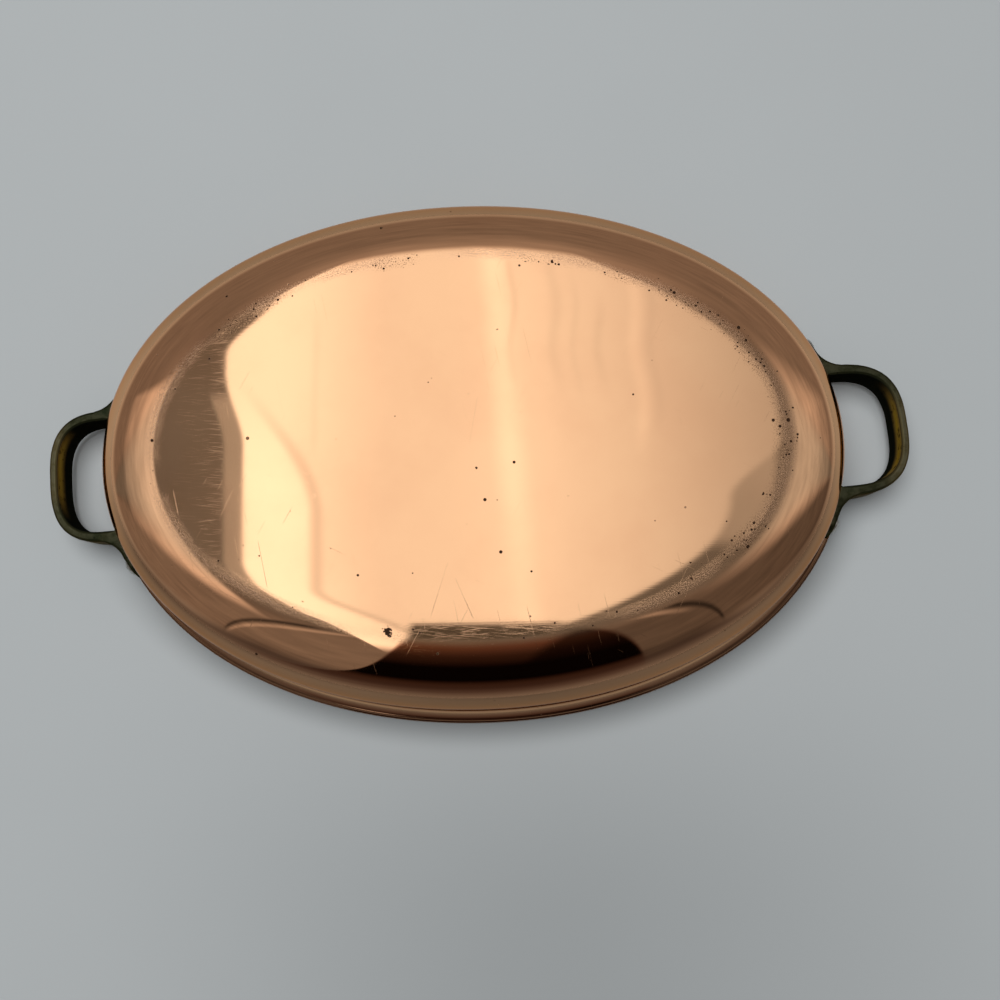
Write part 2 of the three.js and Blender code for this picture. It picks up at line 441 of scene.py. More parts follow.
# %% Walk along the wall
HANDLE_MIDDLE = 34.75
HANDLE_HEIGHT = 17.5
HANDLE_SHIFT = 7
LEG_SPAN = 58
LEFT_REACH = 25.6
RIGHT_REACH = 30
LEG_THICKNESS = 5
LEG_OUTSIDE = (LEG_SPAN + LEG_THICKNESS) / 2
GRIP_THICKNESS = 4
STRAP_ROUNDING = 1.3
ARCH_POWER = 2.9
TONGUE_THICKNESS = 3.2
TONGUE_END_RADIUS = 7
TONGUE_FILLET = 7
RIVET_OFFSET = 43.5
HANDLE_GAP = 0.3

wall_lean = (CORNER_TOP_INSET - WALL_TOP_INSET) / (PAN_HEIGHT - LIP_HEIGHT - CORNER_HEIGHT)
seat_inset = CORNER_TOP_INSET - wall_lean * (HANDLE_MIDDLE - CORNER_HEIGHT)
wall_points = oval(seat_inset, np.linspace(-0.5, 0.5, 6001) * math.pi)
wall_travelled = along_line(wall_points)
wall_runs = np.gradient(wall_points, axis=0)
wall_runs /= np.linalg.norm(wall_runs, axis=1)[:, None]


def along_wall(distance):
    """The wall's point, outward and forward directions, at a distance along it from the long axis."""
    at = wall_travelled[-1] / 2 + distance
    point = [np.interp(at, wall_travelled, wall_points[:, k]) for k in (0, 1)]
    run = [np.interp(at, wall_travelled, wall_runs[:, k]) for k in (0, 1)]
    return np.array([*point, 0.0]), np.array([run[1], -run[0], 0.0]), np.array([*run, 0.0])


print("The wall's half outline is", round(wall_travelled[-1], 1), "mm long")


# %% Sweep a handle's loop
def strap_section(foot, direction, near, far, height, near_rounding=STRAP_ROUNDING, steps=7):
    """A rounded upright rectangle, its faces at near and far along a direction from a foot point."""
    limit = min((far - near) / 2.2, height / 2.2)
    points = []
    for corner in range(4):
        is_far = corner in (0, 3)
        rounding = min(STRAP_ROUNDING if is_far else near_rounding, limit)
        up = 1 if corner < 2 else -1
        for turn in np.linspace(corner, corner + 1, steps) * math.pi / 2:
            out = (far - rounding if is_far else near + rounding) + rounding * math.cos(turn)
            rise = up * (height / 2 - rounding) + rounding * math.sin(turn)
            points.append(foot + direction * out + np.array([0, 0, HANDLE_MIDDLE + rise]))
    return points


def arch(reach, steps=90, foot_height=1.5):
    """The loop that the hand takes, thicker at the legs than at the grip. Its feet end inside the tongues."""
    point, outward, forward = along_wall(-HANDLE_SHIFT)
    power = 2 / ARCH_POWER
    sections = []
    for k in range(-1, steps + 2):
        turn = math.pi * min(max(k, 0), steps) / steps
        across, rise = math.cos(turn), math.sin(turn)
        side = math.copysign(abs(across) ** power, across) * LEG_SPAN / 2
        out = max(rise, 0) ** power * reach
        if k < 0 or k > steps:
            wall_point, _, _ = along_wall(-HANDLE_SHIFT + side)
            out = (wall_point - point) @ outward + foot_height
        square_side = math.copysign(abs(across) ** (2 - power), across) * reach
        square_out = max(rise, 0) ** (2 - power) * LEG_SPAN / 2
        square = np.array([square_side, square_out]) / math.hypot(square_side, square_out)
        direction = forward * square[0] + outward * square[1]
        half = (LEG_THICKNESS + (GRIP_THICKNESS - LEG_THICKNESS) * rise) / 2
        foot = point + forward * side + outward * out
        sections.append(strap_section(foot, direction, -half, half, HANDLE_HEIGHT))
    return sections


print("A strap section has", len(arch(RIGHT_REACH, 2)[0]), "points")


# %% Sweep a handle's tongues
def fillet_rise(point, outward, side):
    """How far the fillet stands off the tongue's face here: a round corner between the tongue and its leg."""
    centre, _, forward = along_wall(-HANDLE_SHIFT)
    low, high = 0.0, TONGUE_FILLET
    for _ in range(30):
        rise = (low + high) / 2
        face = point + outward * (HANDLE_GAP + TONGUE_THICKNESS + rise)
        from_leg = side * (face - centre) @ forward - LEG_OUTSIDE
        inside = TONGUE_FILLET - min(max(from_leg, 0), TONGUE_FILLET)
        if TONGUE_FILLET - math.sqrt(TONGUE_FILLET**2 - inside**2) > rise:
            low = rise
        else:
            high = rise
    return low


def tongue(side, steps=60, near_rounding=0.35):
    """One tongue: from under its leg, along the wall, to a round end about the rivet."""
    start = LEG_SPAN / 2 - LEG_THICKNESS / 2
    end = RIVET_OFFSET + TONGUE_END_RADIUS
    sections = []
    for k in range(steps + 1):
        along = start + (end - start) * 0.998 * math.sin(math.pi / 2 * k / steps)
        point, outward, _ = along_wall(-HANDLE_SHIFT + side * along)
        past_rivet = max(along - RIVET_OFFSET, 0)
        taper = min(max((RIVET_OFFSET - along) / (RIVET_OFFSET - LEG_OUTSIDE), 0), 1)
        end_height = 2 * math.sqrt(TONGUE_END_RADIUS**2 - past_rivet**2)
        height = end_height + (HANDLE_HEIGHT - end_height) * taper
        far = HANDLE_GAP + TONGUE_THICKNESS + fillet_rise(point, outward, side)
        sections.append(strap_section(point, outward, HANDLE_GAP, far, height, near_rounding))
    return sections


print("A tongue has", len(tongue(1)), "sections")


# %% Prepare to cast
def settle(made):
    """Work the object's modifiers into its mesh."""
    bpy.context.view_layer.update()
    graph = bpy.context.evaluated_depsgraph_get()
    mesh = bpy.data.meshes.new_from_object(made.evaluated_get(graph))
    made.modifiers.clear()
    made.data = mesh
    mesh.shade_smooth()


def add_modifier(made, kind, **settings):
    modifier = made.modifiers.new(kind.lower(), kind)
    for name, value in settings.items():
        setattr(modifier, name, value)


def joined(name, parts):
    """Several skins as one object."""
    work = bmesh.new()
    for part in parts:
        work.from_mesh(part.data)
        bpy.data.objects.remove(part)
    mesh = bpy.data.meshes.new(name)
    work.to_mesh(mesh)
    work.free()
    return in_scene(name, mesh)


def points_of(mesh, kind="co"):
    """The places or the normals of a mesh's points, as rows of three."""
    values = np.empty(len(mesh.vertices) * 3)
    mesh.vertices.foreach_get(kind, values)
    return values.reshape(-1, 3)


def move_points(mesh, places):
    mesh.vertices.foreach_set("co", np.ascontiguousarray(places).ravel())
    mesh.update()


def cast_texture(made, height, size):
    """The faint unevenness of sand-cast metal, as real relief that only goes inward."""
    places = points_of(made.data)
    rise = [noise.fractal(Vector(point) / size, 1.0, 2.0, 3) for point in places]
    depth = height * (np.array(rise)[:, None] - 1)
    move_points(made.data, places + points_of(made.data, "normal") * depth)


seat_line = moved_line(-HANDLE_GAP, 0, np.linspace(0, line_length, 60))


def press_on_seat(made):
    """Push back any point that the remesh or the texture has brought nearer to the wall than the gap."""
    places = points_of(made.data) / MM
    inset = np.interp(places[:, 2], seat_line[:, 1], seat_line[:, 0])
    halves = np.column_stack([RIM_HALF_LENGTH - inset, RIM_HALF_WIDTH - inset])
    shares = np.abs(places[:, :2]) / halves
    level = (shares**OVAL_POWER).sum(1)
    slope = OVAL_POWER * shares ** (OVAL_POWER - 1) / halves * np.sign(places[:, :2])
    steepness = np.linalg.norm(slope, axis=1)
    inside = np.maximum((1 - level) / steepness, 0)
    places[:, :2] += slope / steepness[:, None] * inside[:, None]
    move_points(made.data, places * MM)


print("The seat's line has", len(seat_line), "points")

# %% Cast the handles
VOXEL_SIZE = 0.42
CASTING_RELIEF = 0.05
CASTING_GRAIN = 5


def cast_handle(name, reach, turn):
    parts = [skin_over("part", sections) for sections in (arch(reach), tongue(-1), tongue(1))]
    made = joined(name, parts)
    add_modifier(made, "REMESH", mode="VOXEL", voxel_size=VOXEL_SIZE * MM)
    add_modifier(made, "SMOOTH", factor=0.5, iterations=5)
    settle(made)
    cast_texture(made, CASTING_RELIEF * MM, CASTING_GRAIN * MM)
    press_on_seat(made)
    made.data.transform(Matrix.Rotation(turn, 4, "Z"))
    return made


handles = {
    "right": cast_handle("brass_handle_right", RIGHT_REACH, 0),
    "left": cast_handle("brass_handle_left", LEFT_REACH, math.pi),
}
for name, handle in handles.items():
    print("The", name, "handle has", len(handle.data.polygons), "faces")

# %% [markdown]
# ## The rivets
#
# A rivet starts as a pin with a low round head inside the pan. Its other end is hammered over the tongue, and
# the hammer leaves flats on it. So the head is turned as a dome and then cut back by a few planes.

# %% Turn and hammer the rivets
SHANK_RADIUS = 2.5
INNER_HEAD_RADIUS = 5.2
INNER_HEAD_HEIGHT = 2
OUTER_HEAD_RADIUS = 4.2
OUTER_HEAD_HEIGHT = 2.2
HEAD_GAP = 0.3
outer_seat = HANDLE_GAP + TONGUE_THICKNESS + HEAD_GAP
middle_point, middle_outward, _ = along_wall(RIVET_OFFSET)
edge_point, _, _ = along_wall(RIVET_OFFSET + INNER_HEAD_RADIUS)
inner_seat = -SHEET_THICKNESS - HEAD_GAP - (middle_point - edge_point) @ middle_outward


def dome_line(radius, height, seat_height, direction, steps=14):
    """A head's outline from its rim to its top, full at the rim and flatter above."""
    turns = np.linspace(0, math.pi / 2, steps)
    return [
        (radius * math.cos(turn) ** 0.9, seat_height + direction * height * math.sin(turn))
        for turn in turns
    ]


def rivet_skin(name, steps=56):
    """The rivet standing on the z axis, with its zero at the copper's outer face."""
    outline = dome_line(INNER_HEAD_RADIUS, INNER_HEAD_HEIGHT, inner_seat, -1)[-2::-1]
    outline += [(SHANK_RADIUS, inner_seat), (SHANK_RADIUS, outer_seat - HEAD_GAP)]
    outline += [(OUTER_HEAD_RADIUS - 0.3, outer_seat - HEAD_GAP)]
    outline += dome_line(OUTER_HEAD_RADIUS, OUTER_HEAD_HEIGHT, outer_seat, 1)[:-1]
    angles = np.linspace(0, 2 * math.pi, steps, endpoint=False)
    circle = np.column_stack([np.cos(angles), np.sin(angles), np.zeros(steps)])
    return skin_over(name, [radius * circle + (0, 0, height) for radius, height in outline])


def hammer(made, seed, blows=9):
    """Flatten the outer head with a few planes, as hammer blows do."""
    draw = np.random.default_rng(seed)
    for _ in range(blows):
        turn = draw.uniform(0, 2 * math.pi)
        lean = draw.uniform(0.1, 0.75)
        away = Vector((math.sin(lean) * math.cos(turn), math.sin(lean) * math.sin(turn), math.cos(lean)))
        top = Vector((0, 0, outer_seat + 0.2)) * MM
        limit = draw.uniform(1.75, 1.98) * MM + (OUTER_HEAD_RADIUS - 2.2) * MM * math.sin(lean)
        for vertex in made.data.vertices:
            beyond = (vertex.co - top).dot(away) - limit
            if vertex.co.z > outer_seat * MM and beyond > 0:
                vertex.co -= away * beyond * 0.85
    return made


def place_rivet(made, side, turn):
    point, outward, _ = along_wall(-HANDLE_SHIFT + side * RIVET_OFFSET)
    axis = Vector((*outward[:2], -wall_lean)).normalized()
    spot = Vector((*point[:2], HANDLE_MIDDLE)) * MM
    stand = Matrix.Translation(spot) @ axis.to_track_quat("Z", "Y").to_matrix().to_4x4()
    made.data.transform(Matrix.Rotation(turn, 4, "Z") @ stand)
    return made


rivets = {}
ends = {"right": (0, {"front": -1, "back": 1}), "left": (math.pi, {"front": 1, "back": -1})}
for end, (turn, sides) in ends.items():
    for place, side in sides.items():
        name = f"rivet_{end}_{place}"
        made = hammer(rivet_skin("hammered_" + name), seed=len(rivets) + 3)
        rivets[name] = place_rivet(made, side, turn)
print("Rivets:", ", ".join(rivets))

# %% [markdown]
# ## What stands for what
#
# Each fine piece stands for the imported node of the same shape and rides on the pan's one body.

# %% Say which nodes the pieces replace
replaced = {
    "pan_body": body,
    "lining": lining,
    "handle_right": handles["right"],
    "handle_left": handles["left"],
    **rivets,
}
slots = {"pan": "copper", "lining": "lining", "handle": "brass", "rivet": "rivet"}
for node, piece in replaced.items():
    kind = node.split("_")[0]
    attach(piece, "root")
    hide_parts(node)
    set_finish(piece, slots[kind])
print(len(replaced), "pieces stand for the packed nodes")

# %% [markdown]
# ## Marks that several finishes share
#
# Wear comes in a few shapes. Pits are round, so they come from the cells of a Voronoi texture, with a random
# number for each cell to say whether it has a pit and how large. Scratches are noise that has been drawn out
# until only long thin lines are left. A band is a soft line wherever a value passes some number.


# %% Make pits, scratches and bands
def band(value, middle, width):
    """1 along a line and 0 beyond its width on either side."""
    return abs(value - middle).smooth(width, 0)


def pits(finish, place, spacing, largest, share):
    """Round marks in a share of cells that are a spacing wide, the largest being so many cells across."""
    spots = finish.node("TexVoronoi", {}, {"Vector": place, "Scale": 1 / spacing})
    chance = finish.node("SeparateColor", {}, {"Color": spots.other("Color")})
    chosen = (chance + share).smooth(1.0, 1.004)
    return chosen * (spots - chance.other("Green") ** 1.5 * largest).smooth(0.02, -0.03)


def scratches(finish, place, turn, fineness, length, rarity):
    """Long thin marks in one direction. A higher rarity leaves fewer of them."""
    drawn = finish.stretched(place, (fineness, 1 / length, fineness / 8), turn)
    return finish.noise(drawn, 1.0, 2.0, 0.6).smooth(rarity, rarity + 0.05)


def scratch_sets(finish, place, *sets):
    return sum(scratches(finish, place, *each) for each in sets)


def stroke(x, y, start, end, width):
    """One straight scratch between two points, fading at its ends."""
    run = Vector(end) - Vector(start)
    length = run.length
    run.normalize()
    along = (x - start[0]) * run.x + (y - start[1]) * run.y
    across = abs((y - start[1]) * run.x - (x - start[0]) * run.y)
    ends = along.smooth(0, 0.2 * length) * along.smooth(length, 0.8 * length)
    return across.smooth(width, 0.3 * width) * ends


def oval_reach(x, y, inset=0):
    """1 on the rim oval drawn in by an inset, and less inside it."""
    half_length = (RIM_HALF_LENGTH - inset) * MM
    half_width = (RIM_HALF_WIDTH - inset) * MM
    total = (abs(x) / half_length) ** OVAL_POWER + (abs(y) / half_width) ** OVAL_POWER
    return total ** (1 / OVAL_POWER)


print("The flat base is", 2 * (RIM_HALF_LENGTH - BASE_INSET), "mm long")

# %% [markdown]
# ## Copper
#
# Polished copper is a mirror with a colour. What makes it look old is small: soft waves that bend what it
# mirrors, fine scouring, a grainy ring where the edge of the base rubs on the stove, scratches, and pits of
# dark oxide that crowd together in a few places along that edge. The marks come first.

# %% Mark the copper
# Places are in metres. A patch has its x, its y and its reach, and a scratch has its two ends.
burnt_spot = (-0.0365, 0.0835, 0.001)
pit_patches = [(-0.0985, -0.0590, 0.024), (0.036, -0.0805, 0.016), (-0.033, -0.0845, 0.014)]
long_scratches = [
    ((-0.009, 0.050), (-0.018, 0.078)),
    ((-0.008, 0.058), (0.001, 0.079)),
    ((0.0046, -0.024), (-0.001, 0.006)),
    ((-0.132, 0.018), (-0.129, 0.031)),
]


def crowding(finish, place, x, y, reach, low):
    """Where pits crowd together: in a few patches of the base's edge, and all along its right-hand end."""
    crowd = x.smooth(0.045, 0.075) * y.smooth(0.070, 0.050)
    for middle_x, middle_y, size in pit_patches:
        away = finish.distance(place, (middle_x, middle_y, 0))
        crowd = crowd + away.smooth(size, 0.3 * size)
    uneven = 0.25 + 0.75 * finish.noise(place, 55, 2).smooth(0.40, 0.60)
    return ((crowd + 0.12) * uneven * 1.7 * band(reach, 1.0, 0.050) * low).clamped()


def copper_pits(finish, place, crowd, edge):
    """Small pits where they crowd, some larger ones, and one burnt spot."""
    small = pits(finish, place, 0.0015, 0.42, 0.004 + 0.85 * crowd)
    middling = pits(finish, place, 0.0033, 0.27, 0.010 + 0.60 * crowd)
    large = pits(finish, place, 0.0100, 0.074, 0.035 + 0.30 * edge)
    ragged = finish.noise(place, 420, 4, 0.75) * 0.0100
    burn = (finish.distance(place, burnt_spot) + ragged).smooth(0.0072, 0.0065)
    return (small + middling + large + burn).clamped()


def copper_scratches(finish, place, x, y, low):
    """Fine scratches everywhere, more in scuffed patches, at the left end, and a few long ones."""
    scuffed = 0.25 + 0.75 * finish.noise(place, 11, 2).smooth(0.42, 0.62)
    fine = [(12, 1500, 0.06, 0.70), (-28, 1900, 0.05, 0.71), (63, 1700, 0.045, 0.72)]
    lines = scratch_sets(finish, place, *fine) * scuffed
    end_wear = x.smooth(-0.107, -0.112) * x.smooth(-0.136, -0.130) * low
    sideways = scratch_sets(finish, place, (84, 2300, 0.020, 0.60), (97, 2600, 0.016, 0.61))
    front_wear = y.smooth(0.0790, 0.0812) * abs(x - 0.004).smooth(0.038, 0.028) * low
    lines = lines + (0.30 * end_wear + 0.20 * front_wear) * sideways
    for start, end in long_scratches:
        lines = lines + 0.9 * stroke(x, y, start, end, 0.00024)
    return lines.clamped()


print("The copper has", len(pit_patches), "patches of pits and", len(long_scratches), "long scratches")

# %% [markdown]
# The wall was never polished as well as the base, so it is duller, and two faint creases from the drawing run
# along it. Its colour also carries painted shade: it is darkened to brown, most of all in front, and also at
# the back and along the front of the lip, where it mirrors the shaded table and the dark room. Old copper
# stays coloured at a slant, so the shader's tint is set too. All the relief is added up as one height in
# metres, so that one Bump node can carry it.

# %% Finish the copper
bright_copper = (0.875, 0.512, 0.284)
worn_copper = (0.78, 0.42, 0.23)
rubbed_copper = (0.66, 0.40, 0.27)
# The brown of the oxide specks, and also of the painted shade on the wall.
speck_and_shade_brown = (0.20, 0.105, 0.06)
oxide_brown = (0.040, 0.020, 0.013)
copper_at_a_slant = (0.92, 0.66, 0.50, 1)


def copper_finish():
    finish = Finish("polished_copper")
    place, x, y, z = finish.place()
    reach = oval_reach(x, y, BASE_INSET)
    low = z.smooth(0.004, 0.0015)
    edge = band(reach, 1.0, 0.075) * low
    crowd = crowding(finish, place, x, y, reach, low)
    pitted = copper_pits(finish, place, crowd, edge)
    lines = copper_scratches(finish, place, x, y, low)
    grain = finish.noise(place, 2400, 2, 0.6).smooth(0.52, 0.60)
    specks = finish.noise(place, 1500, 2, 0.7).smooth(0.53, 0.62) * crowd
    worn = band(reach, 1.01, 0.045) * low * finish.noise(place, 24, 3).smooth(0.36, 0.55) * grain
    worn = worn * (1 - 0.75 * y.smooth(0.066, 0.074) * abs(x).smooth(0.075, 0.050))
    scouring = finish.noise(finish.stretched(place, (14, 1500, 1500)), 1.0, 3.0, 0.6)
    waves = finish.noise(finish.stretched(place, (9, 4, 9)), 1.0, 1.0)
    tarnish = finish.noise(place, 16, 4, 0.6).smooth(0.38, 0.70)
    # Painted shade: the wall's colour is darkened to brown, most of all in front, and also at the back and
    # along the front of the lip. It stands in for the shaded table and the dark room that the wall mirrors.
    in_front = y.smooth(-0.01, 0.06)
    begins = (z + 0.002 * abs(x).smooth(0.13, 0.09)).smooth(0.005, 0.008)
    front_painted_shade = (1.0 - 0.34 * z.smooth(0.006, 0.011) - 0.40 * z.smooth(0.036, 0.040)) * begins * in_front
    painted_shade_and_dullness = front_painted_shade + 0.40 * z.smooth(0.0045, 0.0070) * y.smooth(-0.02, -0.08)
    painted_shade_and_dullness = painted_shade_and_dullness + (0.95 - painted_shade_and_dullness) * z.smooth(0.0426, 0.0442) * in_front
    waver = 0.0022 * finish.noise(place, 14, 2)
    creases = band(z + waver, 0.0215, 0.0007) + 0.6 * band(z + waver, 0.0080, 0.0006)
    creases = creases * (0.3 + 0.7 * x.smooth(0.02, -0.08))
    colour = finish.mix(0.35 * tarnish, bright_copper, worn_copper)
    colour = finish.mix(painted_shade_and_dullness, colour, speck_and_shade_brown)
    colour = finish.mix(0.8 * worn, colour, rubbed_copper)
    colour = finish.mix(0.75 * specks, colour, speck_and_shade_brown)
    colour = finish.mix(0.94 * pitted, colour, oxide_brown)
    height = 0.00028 * waves + 0.0000007 * scouring - 0.000004 * lines
    height = height + 0.000006 * worn - 0.00010 * pitted - 0.000016 * creases
    roughness = 0.024 + 0.015 * tarnish + 0.05 * painted_shade_and_dullness + 0.28 * worn + 0.22 * lines
    roughness = roughness + 0.25 * specks + 0.45 * pitted
    return finish.surface(
        Base_Color=colour,
        Metallic=1.0,
        Roughness=roughness,
        Specular_Tint=copper_at_a_slant,
        Normal=finish.bump(height),
    )


keep_finish("copper", copper_finish())

# %% [markdown]
# ## Tin
#
# The lining is tin that was wiped round the hot pan with a wad of cloth, so its faint strokes follow the
# oval. Cooking turns tin from silver to a soft grey in patches, and spoons leave a few scratches in it.

# %% Finish the lining
fresh_tin = (0.66, 0.645, 0.61)
grey_tin = (0.43, 0.425, 0.41)


def tin_finish():
    finish = Finish("wiped_tin")
    place, x, y, z = finish.place()
    reach = oval_reach(x, y)
    around = finish.maths("ARCTAN2", y, x * (RIM_HALF_WIDTH / RIM_HALF_LENGTH))
    strokes = finish.noise(finish.vector(reach * 150, around * 2.2, z * 900), 1.0, 4.0, 0.65)
    aged = finish.noise(place, 13, 4, 0.6).smooth(0.36, 0.66)
    lines = scratch_sets(finish, place, (35, 900, 0.05, 0.70), (-50, 1100, 0.04, 0.72)).clamped()
    pocks = pits(finish, place, 0.009, 0.16, 0.06)
    colour = finish.mix(0.8 * aged, fresh_tin, grey_tin)
    colour = finish.mix(0.30 * lines + 0.55 * pocks, colour, tuple(0.45 * c for c in grey_tin))
    roughness = 0.24 + 0.12 * aged + 0.12 * strokes + 0.08 * lines
    height = 0.00003 * strokes - 0.000012 * lines - 0.00006 * pocks
    height = height + 0.00025 * finish.noise(place, 22, 1)
    normal = finish.bump(height)
    return finish.surface(Base_Color=colour, Metallic=1.0, Roughness=roughness, Normal=normal)


keep_finish("lining", tin_finish())

# %% [markdown]
# ## Brass
#
# The handles were never polished. A brown and green skin has grown over the casting. Yellow metal comes
# through only along the middle of the grips, where hands rub. The level crests carry a painted highlight:
# their colour is made paler. The sides, and most of all the inner faces of the loops, carry painted shade:
# their colour is darkened nearly to black. The inner faces are also duller than the metal, so one mask drives
# colour, metal and roughness together.

# %% Finish the brass
rubbed_brass = (0.40, 0.27, 0.075)
# The paler colour of the painted highlight on the crests.
highlight_skin = (0.160, 0.152, 0.095)
olive_skin = (0.110, 0.088, 0.040)
green_skin = (0.024, 0.031, 0.015)
# The black of the pits, and of the painted shade on the sides and the inner faces.
pit_and_shade_black = (0.007, 0.008, 0.005)
brass_at_a_slant = (0.50, 0.38, 0.18, 1)


def brass_finish():
    finish = Finish("patinated_brass")
    place, x, y, z = finish.place()
    facing = finish.node("TexCoord", output="Normal")
    facing_x, facing_y, facing_up = finish.parts(facing)
    level = abs(facing_up)
    outward = facing_x * (x - 0.184 * x / abs(x)) + facing_y * (y - 0.007)
    mottled = finish.noise(place, 260, 4, 0.65)
    cloudy = finish.noise(place, 70, 3).smooth(0.3, 0.7)
    held = abs(x).smooth(0.190, 0.198) * abs(abs(y) - 0.006).smooth(0.026, 0.008)
    grip = held * mottled.smooth(0.30, 0.46) * band(z, 0.0295, 0.0060) * level.smooth(0.6, 0.2)
    skin = finish.mix((0.75 * held + 0.25 * cloudy).clamped(), green_skin, olive_skin)
    # Painted highlight: the level crests are made paler in colour, more so on the grips.
    crest_highlight = level.smooth(0.955, 1.0) * mottled.smooth(0.35, 0.60) * (0.45 + 0.55 * held)
    skin = finish.mix(0.55 * crest_highlight, skin, highlight_skin)
    # Painted shade: the sides, and most of all the inner faces of the loop, are darkened nearly to black.
    upright = level.smooth(0.88, 0.45)
    inner = upright * outward.smooth(0.003, -0.003)
    skin = finish.mix(0.35 * upright + 0.65 * inner, skin, pit_and_shade_black)
    colour = finish.mix(0.85 * grip, skin, rubbed_brass)
    pocks = pits(finish, place, 0.0031, 0.20, 0.30)
    colour = finish.mix(0.6 * pocks, colour, pit_and_shade_black)
    dull = inner * (1 - grip)
    roughness = 0.30 + 0.22 * dull + 0.14 * (mottled - 0.5) + 0.15 * pocks
    height = 0.00004 * finish.noise(place, 800, 3) - 0.00006 * pocks
    return finish.surface(
        Base_Color=colour,
        Metallic=0.85 * (1 - dull),
        Roughness=roughness,
        Specular_IOR_Level=0.0,
        Specular_Tint=brass_at_a_slant,
        Normal=finish.bump(height),
    )


keep_finish("brass", brass_finish())

# %% [markdown]
# ## Rivets
#
# The rivets are a dull grey metal, a little bright on the high spots of the hammer flats, and darker in
# mottled patches and in the hollows of their mesh.

# %% Finish the rivets
rivet_grey = (0.47, 0.47, 0.44)
rivet_dark = (0.10, 0.10, 0.085)


def rivet_finish():
    finish = Finish("hammered_rivet_metal")
    place = finish.place()[0]
    pointed = finish.node("NewGeometry", output="Pointiness")
    mottled = finish.noise(place, 600, 4, 0.6)
    # Darker in mottled patches and where the mesh is hollow.
    mottle_and_hollows = (0.6 * mottled.smooth(0.45, 0.65) + pointed.smooth(0.50, 0.46)).clamped()
    colour = finish.mix(0.8 * mottle_and_hollows, rivet_grey, rivet_dark)
    roughness = 0.33 + 0.2 * mottle_and_hollows + 0.1 * (mottled - 0.5)
    normal = finish.bump(0.00003 * mottled)
    return finish.surface(Base_Color=colour, Metallic=1.0, Roughness=roughness, Normal=normal)


keep_finish("rivet", rivet_finish())

# %% Give each piece its finish
for piece in replaced.values():
    piece.data.materials.clear()
    piece.data.materials.append(finishes[piece["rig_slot"]])
print(len(replaced), "pieces share", len(finishes), "finishes")

# %% [markdown]
# ## Two tables
#
# The photograph shows the pan upside down on its table, but the model is also looked at the right way up. So
# there are two table tops: one under the base, and one that the rim rests on when the picture is seen from
# below. Each is solid only on its own side of the pan, and a ray that has crossed one of them from behind is
# told apart by how many clear sheets it has met: an odd count means the photograph's side.
#
# Far out, each table fades away into the backdrop. The photograph's table also has a soft shade in its own
# colour, close round the pan and towards the viewer, because the lamp on that side is too wide to cast it.


# %% Lay the tables
def table_finish(name, colour, wanted_parity):
    """Solid from its front while the count of clear sheets is right, and clear otherwise."""
    finish = Finish(name)
    met = finish.node("LightPath", output="Transparent Depth")
    odd = finish.maths("MODULO", met, 2)
    right_side = odd if wanted_parity else 1 - odd
    front = 1 - finish.node("NewGeometry", output="Backfacing")
    place, x, y, _ = finish.place()
    solid = right_side * front * finish.distance(place, (0, 0, 0)).smooth(1.6, 0.5)
    tone = finish.noise(place, 9, 2)
    shade = finish.mix(tone, tuple(0.98 * c for c in colour), tuple(1.02 * c for c in colour))
    shadow = 0.23 * abs(x - 0.04).smooth(0.27, 0.0) * y.smooth(0.06, 0.22)
    shadow = shadow + 0.30 * oval_reach(x, y).smooth(1.11, 0.99) * y.smooth(-0.03, 0.09)
    shade = finish.mix(wanted_parity * shadow, shade, (0, 0, 0))
    matt = finish.node("BsdfDiffuse", {}, {"Color": shade})
    clear = finish.node("BsdfTransparent")
    return finish.show(finish.node("MixShader", {}, {0: solid, 1: clear, 2: matt}))


def staged_sheet(name, corners, material):
    """One flat face that belongs to the studio, not to the pan."""
    mesh = bpy.data.meshes.new(name)
    mesh.from_pydata(corners, [], [(0, 1, 2, 3)])
    mesh.materials.append(material)
    made = in_scene(name, mesh)
    made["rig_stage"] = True
    return made


TABLE_SIZE = 12
table_colour = (0.456, 0.482, 0.490)


def level_sheet(name, height, up, material):
    corners = [(x * TABLE_SIZE, y * TABLE_SIZE, height) for x, y in ((-1, -1), (1, -1), (1, 1), (-1, 1))]
    staged_sheet(name, corners if up else corners[::-1], material)


level_sheet("worktop", -0.2 * MM, True, table_finish("pale_worktop", table_colour, 0))
level_sheet("photo_table", 48.55 * MM, False, table_finish("pale_photo_table", table_colour, 1))
clear = Finish("clear_sheet")
level_sheet("counting_sheet", 48.65 * MM, True, clear.show(clear.node("BsdfTransparent")))
print("The tables are", 2 * TABLE_SIZE, "m wide")

# %% [markdown]
# ## Light, and what the metal mirrors
#
# Matt surfaces need soft light, and polished ones need something to mirror. The two are kept apart here. One
# wide lamp on each side of the pan lights that side's table and can't be seen in the metal. What the metal
# mirrors gives no light: one pale card above the pan for the upright views, and the room for all the rest.


# %% Hang the lamps
def lamp(name, place, size, power):
    """A round lamp that shines on the pan and that neither the camera nor the metal sees."""
    data = bpy.data.lights.new(name, "AREA")
    data.shape = "DISK"
    data.size = size
    data.energy = power
    made = in_scene(name, data)
    made.location = place
    made.rotation_mode = "QUATERNION"
    made.rotation_quaternion = (pan_middle - Vector(place)).to_track_quat("-Z", "Y")
    made.visible_glossy = False
    made.visible_camera = False


pan_middle = Vector((0, 0, 0.024))
lamp("photo_ceiling", from_photo(-260, 340, 2000), 1.7, 36)
lamp("upright_softbox", (-0.5, -0.5, 1.4), 1.4, 23)
print("Lamps:", ", ".join(light.name for light in bpy.data.lights))

